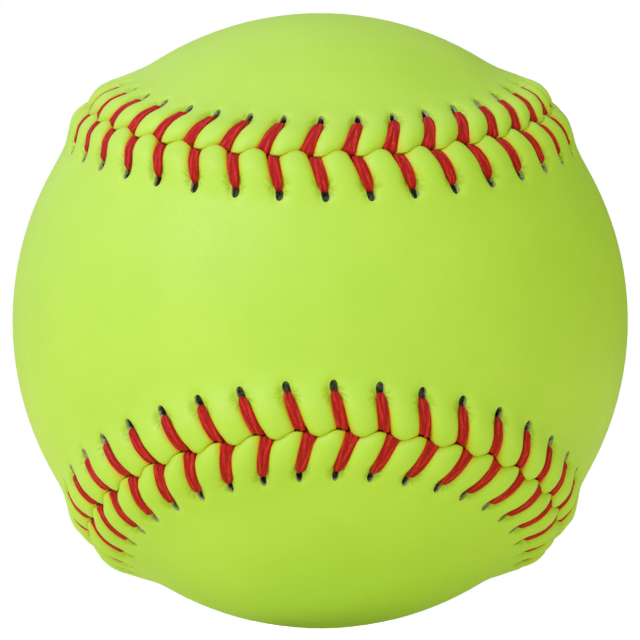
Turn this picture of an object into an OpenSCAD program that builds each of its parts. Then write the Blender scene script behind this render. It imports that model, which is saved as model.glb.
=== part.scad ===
// Softball: two figure-eight leather panels laced over a moulded core

/* [Ball] */
// Girth of the ball over the smooth leather, twelve inches
ball_girth = 304.8; // [280:0.1:330]
// Thickness of the leather
leather_t = 1.5; // [1.2:0.05:1.8]
// Thickness of the cement coat on the core
cement_t = 0.15; // [0.1:0.01:0.2]
// Clearance between pieces that are bonded face to face
bond_gap = 0.05; // [0.02:0.01:0.08]

/* [Raised seam] */
// Number of stitches on each side of the seam
stitch_count = 88; // [80:4:96]
// Height of the leather where the two edges meet
edge_h = 1.55; // [1.3:0.05:1.8]
// Height of the puffed crest between two stitches
crest_h = 2.3; // [2.1:0.05:2.6]
// Height of the leather just before the holes
shoulder_h = 1.5; // [1.35:0.05:1.8]
// Height of the leather just behind the holes
back_h = 0.65; // [0.55:0.05:0.8]
// Depth of the groove that each stitch pulls into the leather
groove_depth = 0.7; // [0.5:0.05:0.8]
// Distance from the seam to the crest
crest_n = 2; // [1.7:0.1:2.4]
// Distance from the seam to the middle of the holes
hole_n = 6.4; // [6.2:0.1:6.6]
// Distance from the seam to the foot of the raised leather
foot_n = 10.5; // [9.5:0.5:11.5]

/* [Stitch holes] */
// Width of a stitch hole along the seam
hole_w = 1.4; // [1.25:0.05:1.5]
// Length of a stitch hole across the seam
hole_len = 2; // [1.8:0.05:2.2]
// How far the holes lag behind the point of their stitch
hole_lag = 1.9; // [1.5:0.1:2.2]
// How much that lag changes between the waist and the ends of a panel
lag_swing = 0.3; // [0:0.05:0.5]

/* [Thread] */
// Width of the doubled thread where its strands lie side by side
thread_w = 1.5; // [1.2:0.05:1.6]
// Thickness of the doubled thread
thread_t = 0.6; // [0.5:0.05:0.65]
// Share of its width that the doubled thread keeps in a hole
bunch_share = 0.7; // [0.6:0.05:0.75]
// Clearance between the thread and the leather
thread_gap = 0.1; // [0.08:0.01:0.12]

/* [Hidden] */
$fn = 96;

ball_r = ball_girth / (2 * PI);
shell_r = ball_r - leather_t;
cement_r = shell_r - bond_gap;
core_r = cement_r - cement_t - bond_gap;

// Shares that shape the seam line on a ball of radius one
wave_share = 0.3037;
bend_share = 0.0326;
// Place of the first stitch, as a share of the stitch spacing
phase_share = 0.44;
// Steps in the table that measures along the seam
seam_steps = 720;

// Half angle, seen from the middle of a panel, that its spine covers
spine_angle = 105;
// Number of steps round the spine, there and back
spine_steps = 44;

// Distance between the two edges along the lobes
edge_gap = 0.06;
// How far an edge reaches over the seam line where the other panel's thread goes down
reach_n = 0.3;
// Distance from the seam to the rim of the plain shell
shell_n = 8;
// Depth below the leather's surface where the raised strip ends
foot_sink = 0.5;
// Shares of the leather's thickness at the pulled rims of the holes and at the strip's foot
rim_share = 0.8;
foot_share = 0.35;
// Size of the cones that cut the plain shells, as a share of the ball
cap_share = 1.4;

// Points of the seam line

function unit(v) = v / norm(v);

// Direction of the seam line at the turn angle u
function seam_dir(u) = unit([
    (1 - wave_share) * cos(u) - wave_share * cos(3 * u) + bend_share * cos(5 * u),
    2 * sqrt(wave_share * (1 - wave_share)) * cos(2 * u) + bend_share * cos(6 * u),
    (1 - wave_share) * sin(u) + wave_share * sin(3 * u) + bend_share * sin(5 * u)
]);

// Direction in which the seam line runs at the turn angle u
function seam_ahead(u) =
    let (step = 360 / seam_steps)
    unit(seam_dir(u + step) - seam_dir(u - step));

// Pairs of the distance run along the seam and the turn angle there
seam_table = [
    for (
        i = 0, run = 0;
        i <= seam_steps;
        run = run + ball_r * norm(seam_dir((i + 1) * 360 / seam_steps) - seam_dir(i * 360 / seam_steps)),
        i = i + 1
    )
        [run, i * 360 / seam_steps]
];
seam_len = seam_table[seam_steps][0];
stitch_pitch = seam_len / stitch_count;

function wrap(x, size) = x - size * floor(x / size);
function turn_at(run) = lookup(wrap(run, seam_len), seam_table);

// Point at a distance run along the seam and n to its side, h above the leather
function ball_point(run, n, h) =
    let (
        u = turn_at(run),
        middle = seam_dir(u),
        aside = cross(middle, seam_ahead(u)),
        a = n / ball_r * 180 / PI
    )
    (middle * cos(a) + aside * sin(a)) * (ball_r + h);

// Distance along the seam of stitch k
function stitch_run(k) = (k + phase_share) * stitch_pitch;

// Lag of the stitch hole k on one side of the seam
function lag_at(k, side) = -hole_lag + side * lag_swing * cos(2 * turn_at(stitch_run(k)));

// Shift along the seam of the thread that ends its leg on one side
thread_shift = thread_w / 2 + 2 * thread_gap;
function leg_shift(k, side, n) =
    let (low_end = -side * thread_shift)
    low_end + (lag_at(k, side) - low_end) * n / hole_n;

// Width of the groove that holds the thread, and how far the edge stands back in it
groove_w = thread_w + 2 * thread_gap;
notch_n = reach_n + thread_t + 2 * thread_gap;
// How far a straight run of thread under the leather bows toward the core
under_bow = 0.2;
// Middle of a thread between the two edges, and its heights over and under the leather
dive_n = (notch_n + reach_n) / 2;
over_h = thread_t / 2 + 2 * thread_gap;
under_h = thread_t / 2 + thread_gap + under_bow - leather_t;
cross_h = under_h + thread_t + thread_gap;

near_n = hole_n - hole_len / 2;
far_n = hole_n + hole_len / 2;

// Point beside the leg of stitch k, and point beside its lower end
function groove_point(k, side, n, across, h) =
    ball_point(stitch_run(k) + leg_shift(k, side, n) + across, side * n, h);
function edge_point(k, side, across, n, h) =
    ball_point(stitch_run(k) + across, side * n, h);

// Reverses a face, which mirrors the side of the seam that it is on
function flip(face) = [for (i = [len(face) - 1 : -1 : 0]) face[i]];
function oriented(faces, side) = side > 0 ? [for (face = faces) flip(face)] : faces;
function quad(a, b, c, d) = [[a, b, c], [a, c, d]];

// Points of the spine of a panel, at the radius r
function spine_point(m, side, r) =
    let (a = spine_angle * cos(m * 360 / spine_steps))
    side > 0 ? [r * sin(a), -r * cos(a), 0] : [0, r * cos(a), r * sin(a)];

// Nearest spine step to stitch column k
function spine_step(k, side) =
    let (u = turn_at(stitch_run(k) + lag_at(k, side)) - (side > 0 ? 0 : 90))
    round(spine_steps * wrap(u, 360) / 360);
function folded(m) = min(wrap(m, spine_steps), spine_steps - wrap(m, spine_steps));

// Cone from the ball's middle over the plain part of a panel
module plain_cone(side) {
    n = stitch_count;
    cap_r = cap_share * ball_r;
    rim = [for (k = [0 : n - 1]) unit(groove_point(k, side, shell_n, 0, 0)) * cap_r];
    spine = [for (m = [0 : spine_steps / 2]) spine_point(m, side, cap_r)];
    faces = [
        for (k = [0 : n - 1])
            let (
                next = (k + 1) % n,
                here = n + 1 + folded(spine_step(k, side)),
                there = n + 1 + folded(spine_step(next, side))
            )
            each [
                [0, next + 1, k + 1],
                [k + 1, next + 1, here],
                if (here != there) [next + 1, there, here]
            ]
    ];
    polyhedron(points = concat([[0, 0, 0]], rim, spine), faces = oriented(faces, side), convexity = 6);
}

// Smooth shell of leather, up to the foot of the raised strip
module plain_shell(side) {
    intersection() {
        difference() {
            sphere(r = ball_r);
            sphere(r = shell_r);
        }
        plain_cone(side);
    }
}

// Strip of leather along the seam, with its lobes, grooves and stitch holes
module raised_strip(side) {
    n = stitch_count;
    near_h = shoulder_h - groove_depth;
    far_h = back_h - groove_depth / 2;
    foot_h = -foot_sink;
    // Where the edge reaches over the seam line, and where the two edges meet on the lobe
    reach = [side > 0 ? thread_shift : stitch_pitch - thread_shift, -reach_n];
    meet = [stitch_pitch / 2, edge_gap / 2];
    turns = side > 0 ? [reach, meet] : [meet, reach];
    points = [
        for (k = [0 : n - 1])
            each [
                edge_point(k, side, -side * thread_shift - groove_w / 2, notch_n, edge_h - groove_depth),
                edge_point(k, side, -side * thread_shift + groove_w / 2, notch_n, edge_h - groove_depth),
                edge_point(k, side, turns[0][0], turns[0][1], edge_h),
                edge_point(k, side, turns[1][0], turns[1][1], edge_h),
                groove_point(k, side, crest_n, -groove_w / 2, crest_h - groove_depth),
                groove_point(k, side, crest_n, groove_w / 2, crest_h - groove_depth),
                groove_point(k, side, crest_n, stitch_pitch / 2, crest_h),
                groove_point(k, side, near_n, -hole_w / 2, near_h),
                groove_point(k, side, near_n, hole_w / 2, near_h),
                groove_point(k, side, near_n, stitch_pitch / 2, shoulder_h),
                groove_point(k, side, far_n, -hole_w / 2, far_h),
                groove_point(k, side, far_n, hole_w / 2, far_h),
                groove_point(k, side, foot_n, 0, foot_h),
                edge_point(k, side, -side * thread_shift, notch_n + thread_t, edge_h - leather_t),
                groove_point(k, side, near_n, -hole_w / 2, near_h - rim_share * leather_t),
                groove_point(k, side, near_n, hole_w / 2, near_h - rim_share * leather_t),
                groove_point(k, side, far_n, -hole_w / 2, far_h - rim_share * leather_t),
                groove_point(k, side, far_n, hole_w / 2, far_h - rim_share * leather_t),
                groove_point(k, side, foot_n, 0, foot_h - foot_share * leather_t)
            ]
    ];
    stride = len(points) / n;
    // A face counts its corners from a, the first point of stitch k, or b, that of the next
    faces = [
        for (k = [0 : n - 1])
            let (
                a = stride * k,
                b = stride * ((k + 1) % n)
            )
            each concat(
                quad(a, a + 1, a + 5, a + 4),
                quad(a + 1, a + 2, a + 6, a + 5),
                [[a + 2, a + 3, a + 6]],
                quad(a + 3, b, b + 4, a + 6),
                quad(a + 4, a + 5, a + 8, a + 7),
                quad(a + 5, a + 6, a + 9, a + 8),
                quad(a + 6, b + 4, b + 7, a + 9),
                [[a + 8, a + 9, a + 11], [a + 9, b + 7, b + 10], [a + 9, b + 10, a + 11]],
                [[a + 10, a + 11, a + 12], [a + 11, b + 12, a + 12], [a + 11, b + 10, b + 12]],
                [[a + 1, a, a + 13], [a + 2, a + 1, a + 13], [a + 3, a + 2, a + 13]],
                [[a + 3, a + 13, b + 13], [b, a + 3, b + 13]],
                quad(a + 7, a + 8, a + 15, a + 14),
                quad(a + 8, a + 11, a + 17, a + 15),
                quad(a + 11, a + 10, a + 16, a + 17),
                quad(a + 10, a + 7, a + 14, a + 16),
                [[a + 13, a + 14, a + 15], [a + 13, a + 15, b + 13], [b + 13, a + 15, b + 14]],
                quad(a + 15, a + 17, b + 16, b + 14),
                [[a + 16, a + 18, a + 17], [a + 17, a + 18, b + 18], [a + 17, b + 18, b + 16]],
                quad(a + 12, b + 12, b + 18, a + 18)
            )
    ];
    polyhedron(points = points, faces = oriented(faces, side), convexity = 10);
}

module cover_panel(side) {
    union() {
        plain_shell(side);
        raised_strip(side);
    }
}

// Middle points of one pass of thread and its widths, from its hole to the other panel
function pass_points(k, side) = [
    groove_point(k, side, near_n + thread_t, 0, under_h),
    groove_point(k, side, near_n + thread_t / 2 + thread_gap, 0, shoulder_h - groove_depth + over_h),
    groove_point(k, side, crest_n, 0, crest_h - groove_depth + over_h),
    edge_point(k, side, -side * thread_shift, dive_n, edge_h - groove_depth + over_h),
    edge_point(k, side, -side * thread_shift, dive_n - thread_t / 2, side > 0 ? under_h : cross_h)
];
pass_widths = [bunch_share, bunch_share, 1, 1, bunch_share] * thread_w;

// One thread, which takes the stitches of one side and then of the other in turn
module lacing(first) {
    n = stitch_count;
    passes = [for (k = [0 : n - 1]) pass_points(k, (k + first) % 2 == 0 ? 1 : -1)];
    middles = [for (pass = passes) each pass];
    aheads = [for (k = [0 : n - 1]) each [for (p = passes[k]) seam_ahead(turn_at(stitch_run(k)))]];
    size = len(middles);
    points = [
        for (i = [0 : size - 1])
            let (
                here = middles[i],
                leaving = unit(middles[(i + 1) % size] - here),
                coming = unit(here - middles[(i + size - 1) % size]),
                along = unit(leaving + coming),
                wide = unit(aheads[i] - (aheads[i] * along) * along) * pass_widths[i % len(pass_widths)] / 2,
                thick = cross(along, unit(wide)) * thread_t / 2
            )
            each [here + wide + thick, here - wide + thick, here - wide - thick, here + wide - thick]
    ];
    faces = [
        for (i = [0 : size - 1])
            let (
                a = 4 * i,
                b = 4 * ((i + 1) % size)
            )
            for (j = [0 : 3])
                let (next = (j + 1) % 4)
                each quad(a + j, b + j, b + next, a + next)
    ];
    polyhedron(points = points, faces = faces, convexity = 10);
}

module core() {
    color("gold") sphere(r = core_r);
}

module cement_layer() {
    color("ivory") difference() {
        sphere(r = cement_r);
        sphere(r = cement_r - cement_t);
    }
}

module cover_panel_a() {
    color("greenyellow") cover_panel(1);
}

module cover_panel_b() {
    color("greenyellow") cover_panel(-1);
}

module thread_a() {
    color("crimson") lacing(0);
}

module thread_b() {
    color("crimson") lacing(1);
}

core();
cement_layer();
cover_panel_a();
cover_panel_b();
thread_a();
thread_b();
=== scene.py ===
"""Softball: leather panels, lacing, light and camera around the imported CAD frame."""

import math

import bpy
import numpy as np
from mathutils import Matrix, Vector


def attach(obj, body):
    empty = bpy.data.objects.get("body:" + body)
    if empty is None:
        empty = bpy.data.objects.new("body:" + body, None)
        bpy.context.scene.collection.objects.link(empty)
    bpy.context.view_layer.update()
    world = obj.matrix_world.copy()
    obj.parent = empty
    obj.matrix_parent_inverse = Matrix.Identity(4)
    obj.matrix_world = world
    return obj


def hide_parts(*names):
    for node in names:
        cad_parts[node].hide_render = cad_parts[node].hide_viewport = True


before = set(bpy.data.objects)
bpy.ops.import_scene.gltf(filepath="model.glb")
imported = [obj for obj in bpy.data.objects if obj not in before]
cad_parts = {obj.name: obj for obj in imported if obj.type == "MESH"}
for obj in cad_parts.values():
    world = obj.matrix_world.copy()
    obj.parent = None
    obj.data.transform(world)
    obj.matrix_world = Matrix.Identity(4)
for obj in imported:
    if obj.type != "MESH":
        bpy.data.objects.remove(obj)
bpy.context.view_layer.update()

MM = 0.001

# The ball and its seam, in millimetres, as the part's source has them
GIRTH = 304.8
BALL_R = GIRTH / (2 * math.pi)
LEATHER_T = 1.5
STITCHES = 88
WAVE_SHARE = 0.3037
BEND_SHARE = 0.0326
PHASE_SHARE = 0.44
SPINE_ANGLE = math.radians(105)
SEAM_SAMPLES = 7201
TANGENT_STEP = 0.002

# Below, e is a distance from the seam over the leather. Where a value differs between the panels, 1 is
# panel A, the front one, and -1 is panel B. A pair of distances says where something starts and ends.
# The strip of leather with the lobes and the holes ends at RIM_N, and the rest of a panel is plain.
RIM_N = 12.0

# Holes: the distance of their middles from the seam, half sizes, and the power of their round outline
HOLE_N = 6.55
HOLE_HALF_LEN = 1.15
HOLE_HALF_W = 0.54
HOLE_ROUND = 2.2
ROUND_FADE = (1, 2.3)

# Where the two ends of a leg lie along the seam, and how that swings as the seam goes round the ball
LOW_END = {1: -0.7, -1: 0.48}
LOW_SWING = {1: 0.7, -1: -0.1}
HOLE_LAG = {1: 2.22, -1: 1.92}
LAG_SWING = {1: 0.75, -1: -1.7}
LAG_FADE = (8, RIM_N)
LEG_REACH = 1.15
EASE_FROM = 0.85
EASE_SPAN = 0.3
EASE_SHARE = 0.32

# How much further out the leather lies round the holes
DRIFT = {1: -0.32, -1: 0.02}
DRIFT_SWING = {1: 0.2, -1: 0.3}
DRIFT_TWIST = {1: 0.4, -1: 0.0}
DRIFT_RISE = (1.5, 5.2)
DRIFT_FADE = (8.2, RIM_N)

# Heights over the smooth ball at distances from the seam: the lobes' crests, the groove that a thread
# pulls, and the leather's thickness
CREST = [
    (0, 1.72), (0.8, 2.12), (1.8, 2.42), (2.8, 2.43), (4.2, 2.12), (5.4, 1.6),
    (6.4, 1.1), (7.4, 0.64), (8.5, 0.3), (10, 0.08), (11.5, 0.01), (12.5, 0),
]
GROOVE = [(0, 0.98), (1, 1.12), (4, 1.14), (5.4, 1.06), (6, 0.88), (6.8, 0.56), (7.4, 0.32), (8.6, 0)]
THICK = [(0, 1.5), (3, 1.5), (4.6, 1.1), (5.4, 0.75), (6.4, 0.9), (7.4, 1.1), (9, 1.5)]
LEAST_T = 0.12
CREST_SHARE = {1: 0.92, -1: 0.98}
CREST_RISE = (0, 1.5)
FOOT_SPREAD = {1: 0.0, -1: 0.8}
FOOT_RISE = (5, 8.5)
FOOT_FADE = (10, RIM_N)

# Lobes between two grooves, and the dimple round each hole
GROOVE_HALF_W = 0.72
LOBE_SHOULDER = 2.1
LOBE_FLANK = 0.58
DIMPLE_DEPTH = 0.14
DIMPLE_REACH = 0.45
DIMPLE_RISE = (4.6, 5.6)

# Edge where the two panels meet
LIP_REACH = 0.5
LIP_DROP = 0.18
LIP_POWER = 2.2
LIP_SHARE_INSIDE = 0.85
SEAM_SWAY = 0.42
SWAY_LEAN = 0.12
NOTCH = {1: 0.7, -1: 0.45}
NOTCH_FADE = (0.82, 1.08)
EDGE_GAP = 0.02
PULL_REACH = 2.6

# Thread: two strands side by side, with the power of their squarish section
STRAND_HALF_W = {1: 0.462, -1: 0.509}
STRAND_HALF_T = 0.29
STRAND_SQUARE = 3.6
SPREAD_SHARE = 0.8
LEG_LIFT = 0.03
END_SKEW = 0.15
SKEW_FADE = (0.9, 1.8)
PLIES = 3
PLY_DEPTH = 0.008
TWIST_RATE = 0.9

# One pass of the thread. In its hole: place and height from the hole's near rim, half width of a strand
# and half the distance between the two strands
HOLE_DIVE = [
    (-0.3, -1.17, 0.27, 0.24),
    (0.15, -1.08, 0.27, 0.24),
    (0.37, -0.7, 0.27, 0.24),
    (0.4, -0.25, 0.28, 0.24),
    (0.28, 0.16, 0.30, 0.26),
    (0.03, 0.34, 0.34, 0.31),
]
LEG_PLACES = (5.0, 4.5, 4.0, 3.4, 2.8, 2.2, 1.7, 1.3)
# Over the crest: place, height from the leg's own line, and shares of the leg's half width
CREST_BEND = [(1.0, 0.02, 1, 0.8), (0.83, -0.06, 0.98, 0.79), (0.72, -0.3, 0.95, 0.78)]
# Down in the seam, where panel A's passes go under panel B's: a shift of the bend, and the end's height
SEAM_NEAR = {1: 0.0, -1: -0.42}
SEAM_END_H = {1: -0.92, -1: -0.2}

# Grid of the leather: columns from the middle of a stitch outwards, and rows out from the seam
ACROSS = [0, 0.18, 0.36, 0.54, 0.82, 1.12, 1.45, 1.85, 2.25, 2.63]
HOLE_CELLS = 6
HOLE_ROWS = list(np.linspace(HOLE_N - HOLE_HALF_LEN, HOLE_N + HOLE_HALF_LEN, HOLE_CELLS + 1))
OUTER_ROWS = [
    0, 0.03, 0.09, 0.18, 0.3, 0.46, 0.66, 0.92, 1.25, 1.65, 2.1, 2.6, 3.1, 3.6, 4.05, 4.45, 4.8, 5.12,
    *HOLE_ROWS, 7.75, 8.15, 8.65, 9.3, 10.1, 11, RIM_N,
]
INNER_ROWS = [0.1, 0.9, 2.4, 4.0, *HOLE_ROWS, 8.6, 10.3, RIM_N]
PLAIN_ROWS = {"outside": 12, "inside": 6}
SPINE_STEPS = 440
# Rings down a hole's wall: share of the depth, and how much the ring narrows
WALL_RINGS = ((0.07, 0.03), (0.35, 0.06), (0.7, 0.05))
# A coordinate so far from the seam that no shading rule reaches it
FAR_E = 30.0

# Grid of a strand, and the shading coordinate that sets the second strand apart
SIDES = 12
LOOP_STEPS = 2
STRAND_APART = 7

# Material numbers and point attributes
FINISHED = 0
CUT = 1
LEG_PLACE = "leg_place"
STRAND_PLACE = "strand_place"


def curve_through(table):
    """Smooth curve without overshoot through the points of a table, level at both ends."""
    xs = np.array([p[0] for p in table], float)
    ys = np.array([p[1] for p in table], float)
    steps = np.diff(xs)
    slopes = np.diff(ys) / steps
    tangents = np.zeros(len(xs))
    same_way = slopes[1:] * slopes[:-1] > 0
    weight_a = 2 * steps[1:] + steps[:-1]
    weight_b = steps[1:] + 2 * steps[:-1]
    safe = np.where(same_way, slopes[:-1], 1), np.where(same_way, slopes[1:], 1)
    mean = (weight_a + weight_b) / (weight_a / safe[0] + weight_b / safe[1])
    tangents[1:-1] = np.where(same_way, mean, 0)

    def at(x):
        x = np.clip(x, xs[0], xs[-1])
        i = np.clip(np.searchsorted(xs, x, side="right") - 1, 0, len(steps) - 1)
        t = (x - xs[i]) / steps[i]
        return (
            ys[i] * (1 + 2 * t) * (1 - t) ** 2
            + tangents[i] * steps[i] * t * (1 - t) ** 2
            + ys[i + 1] * t * t * (3 - 2 * t)
            + tangents[i + 1] * steps[i] * t * t * (t - 1)
        )

    return at


crest_at = curve_through(CREST)
groove_at = curve_through(GROOVE)
thick_at = curve_through(THICK)


def smooth(x, low, high):
    """Nought below low, one above high, and an even curve between them."""
    t = np.clip((x - low) / (high - low), 0, 1)
    return t * t * (3 - 2 * t)


def fade(x, low, high):
    """One below low, nought above high, and an even curve between them."""
    return smooth(-x, -high, -low)


def unit(v):
    return v / np.linalg.norm(v, axis=-1, keepdims=True)


def rounded(x, y, power):
    """Half width of the rounded square on which a place lies."""
    return (np.abs(x) ** power + np.abs(y) ** power) ** (1 / power)


def seam_dir(u):
    """Direction of the seam's point at the turn u, from the middle of the ball."""
    u = np.asarray(u, float)
    a = 1 - WAVE_SHARE
    return unit(np.stack([
        a * np.cos(u) - WAVE_SHARE * np.cos(3 * u) + BEND_SHARE * np.cos(5 * u),
        2 * math.sqrt(a * WAVE_SHARE) * np.cos(2 * u) + BEND_SHARE * np.cos(6 * u),
        a * np.sin(u) + WAVE_SHARE * np.sin(3 * u) + BEND_SHARE * np.sin(5 * u),
    ], -1))


TURNS = np.linspace(0, 2 * math.pi, SEAM_SAMPLES)
STEP_LENGTHS = np.linalg.norm(np.diff(seam_dir(TURNS), axis=0), axis=1)
RUNS = np.concatenate([[0], np.cumsum(STEP_LENGTHS)]) * BALL_R
SEAM_LEN = RUNS[-1]
PITCH = SEAM_LEN / STITCHES

COLUMNS = np.array([-PITCH / 2] + [-a for a in ACROSS[:0:-1]] + ACROSS)
PER_STITCH = len(COLUMNS)
HOLE_FIRST = PER_STITCH // 2 - HOLE_CELLS // 2


def turn_at(run):
    """Turn of the seam's point at a length along the seam."""
    return np.interp(np.mod(run, SEAM_LEN), RUNS, TURNS)


def seam_frame(run):
    """Directions out of the ball, ahead along the seam, and aside towards panel A."""
    u = turn_at(run)
    middle = seam_dir(u)
    ahead = unit(seam_dir(u + TANGENT_STEP) - seam_dir(u - TANGENT_STEP))
    return middle, ahead, np.cross(middle, ahead)


def ball_point(run, n, h):
    """Point at a length along the seam, a distance n towards panel A and a height over the ball."""
    run, n, h = np.broadcast_arrays(run, n, h)
    middle, _, aside = seam_frame(run)
    a = (n / BALL_R)[..., None]
    return (middle * np.cos(a) + aside * np.sin(a)) * (BALL_R + h)[..., None]


# Small differences between one stitch and the next, the same in each run, and the part of the way to
# the next stitch in which they change
BETWEEN_SPAN = (0.25, 0.75)
draws = np.random.default_rng(12)


def jitter(spread):
    return {side: draws.normal(0, spread, STITCHES) for side in (1, -1)}


LAG_JITTER = jitter(0.11)
LOW_JITTER = jitter(0.07)
LOBE_JITTER = jitter(0.05)
WIDE_JITTER = jitter(0.03)


def between(values, c):
    """Value at the place c, level near each whole stitch and smooth in between."""
    k = np.floor(c).astype(int)
    w = smooth(c - k, *BETWEEN_SPAN)
    return values[k % STITCHES] * (1 - w) + values[(k + 1) % STITCHES] * w


def leg_shift(c, side, e):
    """Shift along the seam of the leg line through c, at the distance e from the seam."""
    turn = 2 * turn_at((c + PHASE_SHARE) * PITCH)
    low = LOW_END[side] + LOW_SWING[side] * np.sin(turn) + between(LOW_JITTER[side], c)
    lag = -HOLE_LAG[side] + LAG_SWING[side] * np.sin(turn)
    lag = lag + between(LAG_JITTER[side], c) * (1 - smooth(e, *LAG_FADE))
    # A leg's line turns gently along the ball where it passes its hole
    x = np.clip(e / HOLE_N, 0, LEG_REACH)
    x = x - EASE_SHARE * np.clip(x - EASE_FROM, 0, None) ** 2 / EASE_SPAN
    return low + (lag - low) * np.minimum(x, 1.0)


def hole_drift(run, side, e):
    """How much further out the leather lies round the holes, which differs round the ball."""
    u = turn_at(run)
    drift = DRIFT[side] - DRIFT_SWING[side] * np.sin(u) + DRIFT_TWIST[side] * np.sin(2 * u)
    return drift * smooth(e, *DRIFT_RISE) * (1 - smooth(e, *DRIFT_FADE))


def seam_sway(along):
    """How far the line where the two panels meet lies to panel A's side."""
    turn = 2 * math.pi * along / PITCH
    return -SEAM_SWAY * (np.sin(turn) - SWAY_LEAN * np.sin(2 * turn))


def ridge_at(side, e):
    """Height of the lobes' crests, a little lower on one panel and wider at the foot on the other."""
    foot = e - FOOT_SPREAD[side] * smooth(e, *FOOT_RISE) * (1 - smooth(e, *FOOT_FADE))
    return crest_at(foot) * (1 - (1 - CREST_SHARE[side]) * smooth(e, *CREST_RISE))


def lip_fall(e):
    """How far the rounded edge of a panel turns down towards the seam."""
    return LIP_DROP * np.clip(1 - e / LIP_REACH, 0, 1) ** LIP_POWER


def hole_place(across, e):
    """A place in half sizes of a hole, from the hole's middle."""
    return across / HOLE_HALF_W, (e - HOLE_N) / HOLE_HALF_LEN


def leather_top(c, side, across, e):
    """Height of the leather over the smooth ball."""
    aside = np.clip((PITCH / 2 - np.abs(across)) / (PITCH / 2 - GROOVE_HALF_W), 0, 1)
    swell = (1 - aside ** LOBE_SHOULDER) ** LOBE_FLANK
    lobe = 1 + between(LOBE_JITTER[side], c - 0.5) * swell
    height = ridge_at(side, e) * lobe - groove_at(e) * (1 - swell) - lip_fall(e)
    past_rim = np.clip(rounded(*hole_place(across, e), HOLE_ROUND) - 1, 0, None)
    return height - DIMPLE_DEPTH * np.exp(-(past_rim / DIMPLE_REACH) ** 2) * smooth(e, *DIMPLE_RISE)


def round_hole(across, e):
    """Moves grid points so that the square block of a hole becomes round."""
    x, y = hole_place(across, e)
    square = np.maximum(np.abs(x), np.abs(y))
    circle = rounded(x, y, HOLE_ROUND)
    squeeze = np.where(circle > 0, square / np.maximum(circle, 1e-9), 1)
    factor = 1 + (squeeze - 1) * fade(square, *ROUND_FADE)
    return x * factor * HOLE_HALF_W, y * factor * HOLE_HALF_LEN + HOLE_N


class MeshParts:
    """Collects points and faces, with one material number per face and one coordinate per point."""

    def __init__(self):
        self.points, self.coords, self.faces, self.slots = [], [], [], []
        self.count = 0

    def add(self, points, coords):
        """Takes in a grid of points and gives back the grid of their numbers."""
        flat = points.reshape(-1, 3)
        ids = self.count + np.arange(len(flat)).reshape(points.shape[:-1])
        self.points.append(flat)
        self.coords.append(coords.reshape(-1, 3))
        self.count += len(flat)
        return ids

    def fill(self, corners, slot, flip):
        """Adds one face for each set of corner numbers, turned over where flip is true."""
        order = corners[::-1] if flip else corners
        faces = np.stack([numbers.reshape(-1) for numbers in order], -1)
        self.faces += faces.tolist()
        self.slots += [slot] * len(faces)

    def build(self, name, attribute, materials):
        mesh = bpy.data.meshes.new(name)
        points = np.concatenate(self.points) * MM
        mesh.from_pydata(points.tolist(), [], self.faces)
        mesh.polygons.foreach_set("material_index", np.array(self.slots, np.int32))
        mesh.polygons.foreach_set("use_smooth", np.ones(len(self.faces), bool))
        layer = mesh.attributes.new(attribute, "FLOAT_VECTOR", "POINT")
        layer.data.foreach_set("vector", np.concatenate(self.coords).astype(np.float32).ravel())
        for material in materials:
            mesh.materials.append(material)
        mesh.validate()
        mesh.update()
        obj = bpy.data.objects.new(name, mesh)
        bpy.context.scene.collection.objects.link(obj)
        return obj


def strip_points(side, rows, outside):
    """Points and shading coordinates of one face of the leather along the seam."""
    k = np.repeat(np.arange(STITCHES), PER_STITCH)
    across = np.tile(COLUMNS, STITCHES)[None, :]
    across, e = np.broadcast_arrays(across, np.array(rows, float)[:, None])
    across, e = round_hole(across, e)
    c = k + across / PITCH
    along = leg_shift(c, side, e) + across
    h = leather_top(c, side, across, e)
    if not outside:
        h = np.minimum(h + lip_fall(e) * LIP_SHARE_INSIDE - thick_at(e), h - LEAST_T)
    notch = NOTCH[side] * fade(np.abs(across), *NOTCH_FADE)
    pull = (side * seam_sway(along) + notch + EDGE_GAP / 2) * np.clip(1 - e / PULL_REACH, 0, 1) ** 2
    run = (k + PHASE_SHARE) * PITCH + along
    n = side * (e + pull + hole_drift(run, side, e))
    return ball_point(run, n, h), np.stack([np.abs(across), e, h], -1)


def spine_points(side, steps, radius):
    """Points along the middle line of a panel, from one of its ends to the other."""
    a = SPINE_ANGLE * np.cos(np.arange(steps + 1) * math.pi / steps)
    zero = np.zeros_like(a)
    if side > 0:
        return np.stack([np.sin(a), -np.cos(a), zero], -1) * radius
    return np.stack([zero, np.cos(a), np.sin(a)], -1) * radius


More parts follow.
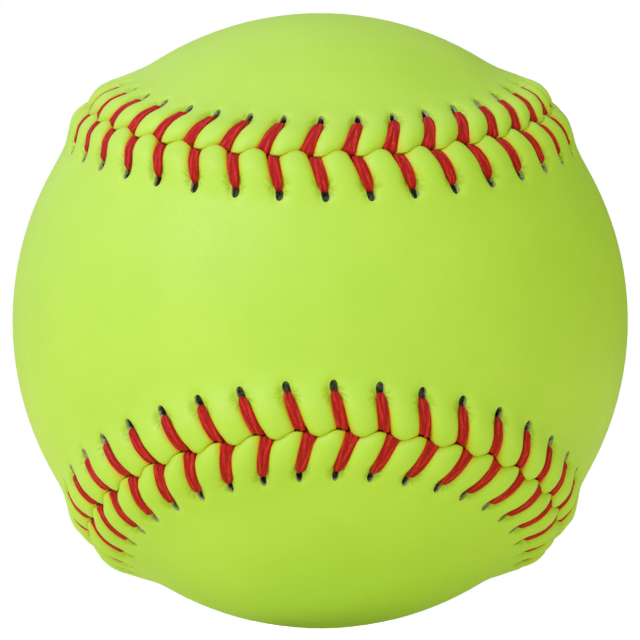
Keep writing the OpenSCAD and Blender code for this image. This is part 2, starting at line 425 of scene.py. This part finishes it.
def plain_part(parts, rim, rim_ids, side, rows, radius, slot, flip):
    """Closes one face of a panel from the strip's rim to the spine down its middle."""
    ids = rim_ids[::2]
    count = len(ids)
    column = np.arange(count) * 2
    c = column // PER_STITCH + COLUMNS[column % PER_STITCH] / PITCH
    run = (c + PHASE_SHARE) * PITCH + leg_shift(c, side, np.full(count, RIM_N))
    u = turn_at(run) - (0 if side > 0 else math.pi / 2)
    steps = SPINE_STEPS // 2
    m = np.round(np.mod(u, 2 * math.pi) / (2 * math.pi) * 2 * steps).astype(int) % (2 * steps)
    m = np.minimum(m, 2 * steps - m)
    spine = spine_points(side, steps, radius)
    far_coord = np.array([[PITCH / 2, FAR_E, 0.0]])
    spine_ids = parts.add(spine, np.repeat(far_coord, len(spine), 0))
    start = unit(rim[::2])
    end = unit(spine[m])
    angle = np.arccos(np.clip((start * end).sum(-1), -1, 1))[:, None]
    here = ids
    for row in range(1, rows):
        t = row / rows
        ring = (start * np.sin((1 - t) * angle) + end * np.sin(t * angle)) / np.sin(angle) * radius
        coords = np.repeat(far_coord, count, 0) * [1, t, 0] + [[0, RIM_N * (1 - t), 0]]
        there = parts.add(ring, coords)
        there_after = np.roll(there, -1)
        if row == 1:
            # The rim has two points for each one of the rows inside it
            middle = rim_ids[1::2]
            parts.fill((ids, middle, there), slot, flip)
            parts.fill((middle, np.roll(ids, -1), there_after), slot, flip)
            parts.fill((middle, there_after, there), slot, flip)
        else:
            parts.fill((here, np.roll(here, -1), there_after, there), slot, flip)
        here = there
    here_after = np.roll(here, -1)
    tip = spine_ids[m]
    tip_after = np.roll(tip, -1)
    same = tip == tip_after
    parts.fill((here[same], here_after[same], tip[same]), slot, flip)
    parts.fill((here[~same], here_after[~same], tip_after[~same], tip[~same]), slot, flip)


def strip_faces(parts, ids, rows, slot, flip):
    """Faces of the strip, leaving the block of each hole open."""
    first_row = rows.index(HOLE_ROWS[0])
    column = np.arange(ids.shape[1]) % PER_STITCH
    in_hole = (column >= HOLE_FIRST) & (column < HOLE_FIRST + HOLE_CELLS)
    after = np.roll(ids, -1, axis=1)
    for r in range(len(rows) - 1):
        keep = ~in_hole if first_row <= r < first_row + HOLE_CELLS else np.ones(ids.shape[1], bool)
        parts.fill((ids[r][keep], after[r][keep], after[r + 1][keep], ids[r + 1][keep]), slot, flip)


def hole_loops(ids, rows):
    """Point numbers round each hole, one row of numbers for each stitch."""
    first = rows.index(HOLE_ROWS[0])
    last = first + HOLE_CELLS
    base = np.arange(STITCHES) * PER_STITCH + HOLE_FIRST
    loop = [ids[first][base + i] for i in range(HOLE_CELLS)]
    loop += [ids[first + i][base + HOLE_CELLS] for i in range(HOLE_CELLS)]
    loop += [ids[last][base + HOLE_CELLS - i] for i in range(HOLE_CELLS)]
    loop += [ids[last - i][base] for i in range(HOLE_CELLS)]
    return np.stack(loop, -1)


def leather_panel(name, side, materials):
    """One panel as a closed shell: two faces, the wall along its edge and the walls of its holes."""
    parts = MeshParts()
    flip = side < 0
    outer, outer_coords = strip_points(side, OUTER_ROWS, True)
    inner, inner_coords = strip_points(side, INNER_ROWS, False)
    outer_ids = parts.add(outer, outer_coords)
    inner_ids = parts.add(inner, inner_coords)
    strip_faces(parts, outer_ids, OUTER_ROWS, FINISHED, flip)
    strip_faces(parts, inner_ids, INNER_ROWS, CUT, not flip)
    # Edge wall, with one row between the two faces
    middle = parts.add(outer[0] * 0.5 + inner[0] * 0.5, outer_coords[0])
    for low, high in ((inner_ids[0], middle), (middle, outer_ids[0])):
        parts.fill((low, np.roll(low, -1), np.roll(high, -1), high), FINISHED, flip)
    # Walls of the holes, finished only round the rim
    top = hole_loops(outer_ids, OUTER_ROWS)
    bottom = hole_loops(inner_ids, INNER_ROWS)
    points = np.concatenate(parts.points)
    coords = np.concatenate(parts.coords)
    rings = [top]
    for share, shrink in WALL_RINGS:
        place = points[top] * (1 - share) + points[bottom] * share
        centre = place.mean(1, keepdims=True)
        depth = coords[top] * [1, 1, 0] - [0, 0, share]
        rings.append(parts.add(place + (centre - place) * shrink, depth))
    rings.append(bottom)
    for number, (high, low) in enumerate(zip(rings[:-1], rings[1:])):
        slot = FINISHED if number == 0 else CUT
        parts.fill((high, np.roll(high, -1, axis=1), np.roll(low, -1, axis=1), low), slot, not flip)
    plain_part(parts, outer[-1], outer_ids[-1], side, PLAIN_ROWS["outside"], BALL_R, FINISHED, flip)
    inner_r = BALL_R - LEATHER_T
    plain_part(parts, inner[-1], inner_ids[-1], side, PLAIN_ROWS["inside"], inner_r, CUT, not flip)
    return parts.build(name, LEG_PLACE, materials)


def groove_floor(side, e):
    """Height of the leather on which a leg lies."""
    return ridge_at(side, e) - groove_at(e)


def pass_rows(side):
    """One pass: distance from the seam, height, half width of a strand, half the strands' distance."""
    rim = HOLE_N - HOLE_HALF_LEN
    rim_h = groove_floor(side, rim)
    rows = [(rim + out, rim_h + up, half_w, spread) for out, up, half_w, spread in HOLE_DIVE]
    wide = STRAND_HALF_W[side]
    for e in LEG_PLACES:
        # A leg is a tenth narrower near its hole
        half_w = wide * (0.9 + 0.1 * fade(e, 3.6, 5))
        height = groove_floor(side, e) + STRAND_HALF_T + LEG_LIFT
        rows.append((e, height, half_w, half_w * SPREAD_SHARE))
    near = SEAM_NEAR[side]
    top_h = groove_floor(side, 1.0) + STRAND_HALF_T
    for e, up, share, spread_share in CREST_BEND:
        rows.append((e + near, top_h + up, wide * share, wide * spread_share))
    # Down in the seam both strands are squeezed to a rounder section
    rows += [
        (0.67 + near, top_h - 0.7, 0.38, 0.37),
        (0.65 + near, 0.45, 0.35, 0.35),
        (0.61 + near, 0.0, 0.32, 0.32),
        (0.3 + near / 2, SEAM_END_H[side], 0.30, 0.30),
    ]
    return np.array(rows)


def leg_points(k, side, rows):
    """Points of one pass, with the columns of half width and half distance, and the ends' slant."""
    e, h, wide, spread = rows.T
    run = (k + PHASE_SHARE) * PITCH + leg_shift(np.full(len(e), float(k)), side, e)
    n = side * (e + hole_drift(run, side, e))
    width = 1 + WIDE_JITTER[side][k]
    # The ends follow the slant of the line where the panels meet
    slant = -seam_frame(run)[2] * (END_SKEW * fade(e, *SKEW_FADE))[:, None]
    return ball_point(run, n, h), (wide * width)[:, None], (spread * width)[:, None], slant


def smooth_loop(values, count):
    """Catmull-Rom points through a closed list, count for each of its steps."""
    before, after, last = np.roll(values, 1, 0), np.roll(values, -1, 0), np.roll(values, -2, 0)
    out = []
    for i in range(count):
        t = i / count
        out.append(
            values
            + 0.5 * t * (after - before)
            + t * t * (before - 2.5 * values + 2 * after - 0.5 * last)
            + t ** 3 * (1.5 * (values - after) + 0.5 * (last - before))
        )
    return np.stack(out, 1).reshape((-1,) + values.shape[1:])


def lacing(name, first, material):
    """Both strands of one thread, which takes a stitch of one panel and then of the other."""
    rows = {side: pass_rows(side) for side in (1, -1)}
    passes = []
    for k in range(STITCHES):
        side = 1 if (k + first) % 2 == 0 else -1
        ahead = seam_frame((k + PHASE_SHARE) * PITCH)[1]
        passes.append((*leg_points(k, side, rows[side]), np.tile(ahead, (len(rows[side]), 1))))
    places, wides, spreads, slants, aheads = (
        smooth_loop(np.concatenate(columns), LOOP_STEPS) for columns in zip(*passes)
    )
    steps = places - np.roll(places, 1, 0)
    length = np.cumsum(np.linalg.norm(steps, axis=1))[:, None]
    along = unit(np.roll(places, -1, 0) - np.roll(places, 1, 0))
    across = unit(aheads - along * (aheads * along).sum(-1, keepdims=True))
    turn = np.arange(SIDES) * 2 * math.pi / SIDES
    outline = rounded(np.cos(turn), np.sin(turn), STRAND_SQUARE)
    side_way = across[:, None, :] * (np.cos(turn) / outline)[None, :, None]
    up_way = np.cross(along, across)[:, None, :] * (np.sin(turn) / outline)[None, :, None]
    section = side_way * wides[:, :, None] + up_way * STRAND_HALF_T
    parts = MeshParts()
    for strand, way in enumerate((-1, 1)):
        middle = places + across * spreads * way + slants * way
        ply = 1 + PLY_DEPTH * np.cos(PLIES * turn - way * length * TWIST_RATE)
        ring = middle[:, None, :] + section * ply[..., None]
        coords = np.stack(np.broadcast_arrays(length + STRAND_APART * strand, turn, way), -1)
        ids = parts.add(ring, coords)
        after = np.roll(ids, -1, 0)
        parts.fill((ids, after, np.roll(after, -1, 1), np.roll(ids, -1, 1)), 0, True)
    return parts.build(name, STRAND_PLACE, [material])


# Colours, as linear red, green and blue, and the places of those that lie on a ramp

LIME = [(0.3, (0.403, 0.626, 0.055)), (0.5, (0.424, 0.648, 0.063)), (0.7, (0.445, 0.670, 0.071))]
# Painted shade in the valley beside each thread
VALLEY_SHADE_YELLOW = (0.445, 0.575, 0.004)
RIM_ORANGE = (0.68, 0.38, 0.004)
# Painted shade in the folds of the wrinkles round each hole
WRINKLE_FOLD_SHADE = (0.33, 0.49, 0.004)
CREPT_DYE = (0.58, 0.47, 0.003)
# Painted shade along the seam's crease
SEAM_EDGE_SHADE = (0.50, 0.56, 0.010)
RAW_HIDE = [(0.35, (0.29, 0.27, 0.15)), (0.65, (0.86, 0.81, 0.73))]
# Painted shade deep down the walls of the holes
HOLE_DEPTH_SHADE = (0.065, 0.06, 0.03)
WAXED_RED = [
    (0.0, (0.26, 0.005, 0.005)), (0.5, (0.43, 0.007, 0.007)),
    (0.8, (0.53, 0.011, 0.012)), (1.0, (0.64, 0.05, 0.05)),
]
LATEX = [(0.38, (0.07, 0.10, 0.05)), (0.62, (0.44, 0.53, 0.34))]
FOAM = [(0.1, (0.42, 0.30, 0.15)), (0.6, (0.62, 0.49, 0.29))]
FLOOR_GREY = (0.85, 0.85, 0.85)
FLOOR_WARM = (0.85, 0.85, 0.52)
GLOW_WARM = (1.08, 1, 0.45)
TENT_RIGHT = (0.86, 1, 0.28)
TENT_LEFT = (1.02, 1, 1.18)
WHITE = (1, 1, 1)
KEY_WHITE = (0.97, 1.0, 1.2)


# Leather: the middle of a hole's wrinkles, how close together they are and how they differ from place
# to place, and how far the rims' colour and the wrinkles' painted shade cover the lime
WRINKLE_CENTRE = HOLE_N - 0.9
WRINKLE_RATE = 0.8
WRINKLE_PATCH = 9.0
WRINKLE_SHADE_SHARE = 0.72
RIM_SHARE = 0.85
# Cut leather: how ragged the line between its pale fibres and the painted shade lower down is
RAGGED = 1.8
# Thread: how fine the fibres are round a strand and along it, and the shares of plies and fuzz
FIBRE_ROUND = 3.2
FIBRE_ALONG = 0.45
PLY_SHARE = 0.12
FUZZ_SHARE = 0.5

RISING = (0.0, 1.0)
FALLING = (1.0, 0.0)


# Material building blocks

def new_material(name):
    material = bpy.data.materials.new(name)
    material.use_nodes = True
    tree = material.node_tree
    shader = next(n for n in tree.nodes if n.type == "BSDF_PRINCIPLED")
    return material, tree, shader


def node(tree, kind, **values):
    made = tree.nodes.new(kind)
    for key, value in values.items():
        if key in made.inputs:
            made.inputs[key].default_value = value
        else:
            setattr(made, key, value)
    return made


def link(tree, source, target):
    tree.links.new(source, target)


def feed(tree, value, socket):
    """Gives a socket its value, which is another socket, a number or a colour."""
    if hasattr(value, "links"):
        link(tree, value, socket)
    elif isinstance(value, tuple):
        socket.default_value = (*value, 1)
    else:
        socket.default_value = value


def object_place(tree):
    return node(tree, "ShaderNodeTexCoord").outputs["Object"]


def camera_ray(tree):
    return node(tree, "ShaderNodeLightPath").outputs["Is Camera Ray"]


def attribute_parts(tree, name):
    """The three numbers of a point attribute."""
    attribute = node(tree, "ShaderNodeAttribute", attribute_name=name)
    split = node(tree, "ShaderNodeSeparateXYZ")
    link(tree, attribute.outputs["Vector"], split.inputs[0])
    return tuple(split.outputs)


def joined(tree, *values):
    """One vector made from two or three numbers."""
    made = node(tree, "ShaderNodeCombineXYZ")
    for value, socket in zip(values, made.inputs):
        link(tree, value, socket)
    return made.outputs[0]


def noise(tree, place, scale, detail, rough=0.5):
    made = node(tree, "ShaderNodeTexNoise", Scale=scale, Detail=detail, Roughness=rough)
    link(tree, place, made.inputs["Vector"])
    return made.outputs["Fac"]


def cells(tree, place, scale):
    made = node(tree, "ShaderNodeTexVoronoi", Scale=scale)
    link(tree, place, made.inputs["Vector"])
    return made.outputs["Distance"]


def ramp(tree, source, stops):
    made = tree.nodes.new("ShaderNodeValToRGB")
    elements = made.color_ramp.elements
    while len(elements) < len(stops):
        elements.new(0.5)
    for element, (place, colour) in zip(elements, stops):
        element.position = place
        element.color = (*colour, 1)
    link(tree, source, made.inputs[0])
    return made.outputs[0]


def maths(tree, operation, *values):
    made = node(tree, "ShaderNodeMath", operation=operation)
    for value, socket in zip(values, made.inputs):
        feed(tree, value, socket)
    return made.outputs[0]


def product(tree, first, *others):
    for value in others:
        first = maths(tree, "MULTIPLY", first, value)
    return first


def span(tree, value, start, result=RISING):
    """A number that goes smoothly through the result pair while the value goes through the start pair."""
    made = node(tree, "ShaderNodeMapRange", interpolation_type="SMOOTHSTEP")
    link(tree, value, made.inputs["Value"])
    for key, number in zip(("From Min", "From Max", "To Min", "To Max"), (*start, *result)):
        made.inputs[key].default_value = number
    return made.outputs["Result"]


def mix(tree, factor, a, b):
    made = node(tree, "ShaderNodeMix", data_type="RGBA")
    link(tree, factor, made.inputs[0])
    feed(tree, a, made.inputs[6])
    feed(tree, b, made.inputs[7])
    return made.outputs[2]


def bump(tree, height, strength, distance, normal=None):
    made = node(tree, "ShaderNodeBump", Strength=strength, Distance=distance)
    link(tree, height, made.inputs["Height"])
    if normal is not None:
        link(tree, normal, made.inputs["Normal"])
    return made.outputs["Normal"]


def dress(tree, shader, colour, rough, normal):
    for key, source in (("Base Color", colour), ("Roughness", rough), ("Normal", normal)):
        link(tree, source, shader.inputs[key])


def leather_material():
    material, tree, shader = new_material("lime_leather")
    place = object_place(tree)
    across, e, _ = attribute_parts(tree, LEG_PLACE)
    pores = cells(tree, place, scale=2300)
    fine = noise(tree, place, scale=1500, detail=4, rough=0.6)
    base = ramp(tree, noise(tree, place, scale=55, detail=5, rough=0.6), LIME)
    # Painted shade: a darker, yellower valley where the leather turns in beside the red thread, and a
    # warm rim right at the thread
    narrowing = span(tree, e, (4.2, 5.8), (0.0, 0.32))
    widening = span(tree, e, (0.3, 1.7), (0.2, 0.0))
    from_thread = maths(tree, "SUBTRACT", maths(tree, "ADD", across, narrowing), widening)
    raised = span(tree, e, (5.6, 6.6), FALLING)
    valley_shade = product(tree, span(tree, from_thread, (0.9, 1.75), (0.62, 0.0)), raised)
    base = mix(tree, valley_shade, base, VALLEY_SHADE_YELLOW)
    rim = product(tree, span(tree, from_thread, (0.86, 1.22), FALLING), raised, RIM_SHARE)
    base = mix(tree, rim, base, RIM_ORANGE)
    # Short wrinkles that run away from each hole, where the thread pulls: bumped folds, with a darker
    # green in each fold that is painted shade
    outward = maths(tree, "SUBTRACT", e, WRINKLE_CENTRE)
    angle = maths(tree, "ARCTAN2", outward, across)
    patch = noise(tree, place, scale=60, detail=0)
    apart = joined(tree, product(tree, angle, WRINKLE_RATE), product(tree, patch, WRINKLE_PATCH))
    folds = noise(tree, apart, scale=1.7, detail=1, rough=0.4)
    squares = maths(tree, "ADD", product(tree, outward, outward), product(tree, across, across))
    from_hole = maths(tree, "SQRT", squares)
    close = product(tree, span(tree, from_hole, (0.6, 1.0)), span(tree, from_hole, (1.1, 2.1), FALLING))
    from_fold = maths(tree, "ABSOLUTE", maths(tree, "SUBTRACT", folds, 0.5))
    crease = product(tree, span(tree, from_fold, (0.0, 0.17), FALLING), close)
    base = mix(tree, product(tree, crease, WRINKLE_SHADE_SHARE), base, WRINKLE_FOLD_SHADE)
    # Dye from the thread has crept into the corners where it dives into the seam
    near_seam = span(tree, e, (0.3, 2.6), FALLING)
    corner = product(tree, near_seam, span(tree, from_thread, (0.9, 2.0), FALLING))
    blots = span(tree, noise(tree, place, scale=240, detail=2), (0.42, 0.62), (0.12, 0.85))
    base = mix(tree, product(tree, corner, blots), base, CREPT_DYE)
    # Painted shade: a darker, yellower edge where the two panels meet in the seam's crease
    base = mix(tree, span(tree, e, (0.12, 0.4), (0.6, 0.0)), base, SEAM_EDGE_SHADE)
    shader.inputs["Specular IOR Level"].default_value = 0.52
    rough = span(tree, fine, (0.3, 0.7), (0.46, 0.56))
    normal = bump(tree, maths(tree, "ADD", pores, fine), strength=0.10, distance=0.0001)
    normal = bump(tree, product(tree, crease, -1.0), strength=0.3, distance=0.0003, normal=normal)
    dress(tree, shader, base, rough, normal)
    return material


def raw_leather_material():
    material, tree, shader = new_material("cut_leather")
    place = object_place(tree)
    height = attribute_parts(tree, LEG_PLACE)[2]
    fibres = noise(tree, place, scale=2200, detail=6, rough=0.7)
    patches = noise(tree, place, scale=1900, detail=2, rough=0.6)
    # Pale raw fibres up near the rim, and lower down, as further down a hole, a dark colour that is
    # painted shade
    pale = ramp(tree, fibres, RAW_HIDE)
    level = maths(tree, "ADD", height, product(tree, patches, RAGGED))
    base = mix(tree, span(tree, level, (0.1, 0.7)), HOLE_DEPTH_SHADE, pale)
    rough = span(tree, fibres, (0.3, 0.7), (0.85, 0.95))
    dress(tree, shader, base, rough, bump(tree, fibres, strength=0.4, distance=0.0002))
    return material


def thread_material():
    material, tree, shader = new_material("red_waxed_thread")
    length, around, way = attribute_parts(tree, STRAND_PLACE)
    # Fibres run along each strand with a slow twist
    twist = product(tree, length, TWIST_RATE, way)
    turn = maths(tree, "SUBTRACT", product(tree, around, PLIES), twist)
    round_turn = maths(tree, "DIVIDE", turn, PLIES)
    round_x = product(tree, maths(tree, "COSINE", round_turn), FIBRE_ROUND)
    round_y = product(tree, maths(tree, "SINE", round_turn), FIBRE_ROUND)
    lengthwise = joined(tree, round_x, round_y, product(tree, length, FIBRE_ALONG))
    fibres = noise(tree, lengthwise, scale=2.4, detail=4, rough=0.6)
    fuzz = noise(tree, object_place(tree), scale=2600, detail=5, rough=0.65)
    height = product(tree, maths(tree, "COSINE", turn), PLY_SHARE)
    height = maths(tree, "ADD", height, fibres)
    height = maths(tree, "ADD", height, product(tree, fuzz, FUZZ_SHARE))
    # Colour follows the bump's height: darker low between the plies, which is painted shade, and flecked
    # by the fibres' own tone
    base = ramp(tree, span(tree, height, (0.5, 1.02)), WAXED_RED)
    shader.inputs["Specular IOR Level"].default_value = 0.2
    rough = span(tree, fuzz, (0.3, 0.7), (0.62, 0.78))
    dress(tree, shader, base, rough, bump(tree, height, strength=0.6, distance=0.00012))
    return material


def latex_material():
    material, tree, shader = new_material("dried_latex")
    streaks = noise(tree, object_place(tree), scale=1300, detail=3, rough=0.6)
    rough = span(tree, streaks, (0.3, 0.7), (0.45, 0.7))
    normal = bump(tree, streaks, strength=0.4, distance=0.0003)
    dress(tree, shader, ramp(tree, streaks, LATEX), rough, normal)
    return material


def foam_material():
    material, tree, shader = new_material("moulded_foam_core")
    bubbles = cells(tree, object_place(tree), scale=1300)
    rough = span(tree, bubbles, (0.0, 0.8), (0.75, 0.9))
    normal = bump(tree, bubbles, strength=0.3, distance=0.0003)
    dress(tree, shader, ramp(tree, bubbles, FOAM), rough, normal)
    return material


leather = leather_material()
raw_leather = raw_leather_material()
red_thread = thread_material()

for panel_name, panel_side, panel_node in (
    ("leather_panel_front", 1, "cover_panel_a"),
    ("leather_panel_ends", -1, "cover_panel_b"),
):
    piece = leather_panel(panel_name, panel_side, [leather, raw_leather])
    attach(piece, "root")
    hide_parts(panel_node)

for lacing_name, lacing_first, lacing_node in (
    ("lacing_first_needle", 0, "thread_a"),
    ("lacing_second_needle", 1, "thread_b"),
):
    piece = lacing(lacing_name, lacing_first, red_thread)
    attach(piece, "root")
    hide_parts(lacing_node)

for node_name, inner_material in (("core", foam_material()), ("cement_layer", latex_material())):
    inner_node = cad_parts[node_name]
    inner_node.data.materials.clear()
    inner_node.data.materials.append(inner_material)

# Camera at the photograph's viewing angle, with the ball's place and radius in the photograph's pixels
CAMERA_TURN = (-0.0887, 0.0283, 0.0087)
CAMERA_RADII = 11
PHOTO_SIZE = 640
BALL_PIXELS = 307.7
BALL_CENTRE = (320.2, 320.77)
SENSOR_W = 36
CLIP = (0.01, 20)

turn_vector = Vector(CAMERA_TURN)
turned = Matrix.Rotation(turn_vector.length, 3, turn_vector.normalized())
row_to_view = turned @ Matrix(((1, 0, 0), (0, 0, 1), (0, -1, 0)))
world_axes = row_to_view.transposed()
camera_data = bpy.data.cameras.new("photo_camera")
camera = bpy.data.objects.new("photo_camera", camera_data)
bpy.context.scene.collection.objects.link(camera)
camera_place = world_axes @ Vector((0, 0, CAMERA_RADII * BALL_R * MM))
camera.matrix_world = Matrix.Translation(camera_place) @ world_axes.to_4x4()
focal_pixels = BALL_PIXELS * math.sqrt(CAMERA_RADII ** 2 - 1)
camera_data.sensor_width = SENSOR_W
camera_data.lens = focal_pixels * SENSOR_W / PHOTO_SIZE
camera_data.shift_x = (PHOTO_SIZE / 2 - BALL_CENTRE[0]) / PHOTO_SIZE
camera_data.shift_y = (BALL_CENTRE[1] - PHOTO_SIZE / 2) / PHOTO_SIZE
camera_data.clip_start, camera_data.clip_end = CLIP
bpy.context.scene.camera = camera

# Pale floor, which glows a little and sends warm light up
FLOOR_REACH = 6.0
FLOOR_ROUGHNESS = 0.9
FLOOR_GLOW = 0.25
FLOOR_GLOW_SEEN = 0.45

floor_mesh = bpy.data.meshes.new("pale_floor")
floor_corners = [
    (x * FLOOR_REACH, y * FLOOR_REACH, -BALL_R * MM) for x, y in ((-1, -1), (1, -1), (1, 1), (-1, 1))
]
floor_mesh.from_pydata(floor_corners, [], [(0, 1, 2, 3)])
floor = bpy.data.objects.new("pale_floor", floor_mesh)
bpy.context.scene.collection.objects.link(floor)
floor_paint, floor_tree, floor_shader = new_material("pale_floor")
floor_shader.inputs["Roughness"].default_value = FLOOR_ROUGHNESS
floor_seen = camera_ray(floor_tree)
floor_glow = maths(floor_tree, "ADD", product(floor_tree, floor_seen, FLOOR_GLOW_SEEN), FLOOR_GLOW)
for floor_key, floor_value in (
    ("Emission Strength", floor_glow),
    ("Base Color", mix(floor_tree, floor_seen, FLOOR_WARM, FLOOR_GREY)),
    ("Emission Color", mix(floor_tree, floor_seen, GLOW_WARM, WHITE)),
):
    link(floor_tree, floor_value, floor_shader.inputs[floor_key])
floor_mesh.materials.append(floor_paint)

# Light: a tent, brighter to the left, the front and the top, and one soft lamp
AMBIENT = 0.13
TO_LEFT = (-1, 0, 0)
TO_FRONT = (0, -1, 0)
UPWARDS = (0, 0, 1)
TENT_LEVELS = {TO_LEFT: 0.52, TO_FRONT: 0.725, UPWARDS: 0.62}
TINT_SPAN = (-0.85, 0.4)
KEY_PLACE = (-0.75, -0.75, 0.55)
KEY_SIZE = 0.6
KEY_POWER = 3.8


def facing(tree, way, towards):
    """How far a direction leans towards another, from -1 to 1."""
    dot = node(tree, "ShaderNodeVectorMath", operation="DOT_PRODUCT")
    link(tree, way, dot.inputs[0])
    dot.inputs[1].default_value = towards
    return dot.outputs["Value"]


def studio_world():
    """World that lights the ball as the tent does, and is plain white to the camera."""
    world = bpy.data.worlds.new("white_studio")
    world.use_nodes = True
    tree = world.node_tree
    background = next(n for n in tree.nodes if n.type == "BACKGROUND")
    seen = camera_ray(tree)
    way = node(tree, "ShaderNodeTexCoord").outputs["Generated"]
    level = AMBIENT
    for towards, strength in TENT_LEVELS.items():
        lit = maths(tree, "MAXIMUM", facing(tree, way, towards), 0.0)
        level = maths(tree, "ADD", product(tree, lit, strength), level)
    unseen = maths(tree, "SUBTRACT", 1.0, seen)
    link(tree, maths(tree, "ADD", product(tree, unseen, level), seen), background.inputs["Strength"])
    to_left = span(tree, facing(tree, way, TO_LEFT), TINT_SPAN)
    tint = mix(tree, to_left, TENT_RIGHT, TENT_LEFT)
    link(tree, mix(tree, seen, tint, WHITE), background.inputs["Color"])
    return world


bpy.context.scene.world = studio_world()

key_data = bpy.data.lights.new("key_light", "AREA")
key_data.shape = "DISK"
key_data.size = KEY_SIZE
key_data.energy = KEY_POWER
key_data.color = KEY_WHITE
key_light = bpy.data.objects.new("key_light", key_data)
key_light.location = KEY_PLACE
key_light.rotation_euler = (-Vector(KEY_PLACE)).to_track_quat("-Z", "Y").to_euler()
bpy.context.scene.collection.objects.link(key_light)

bpy.context.scene.view_settings.view_transform = "Standard"
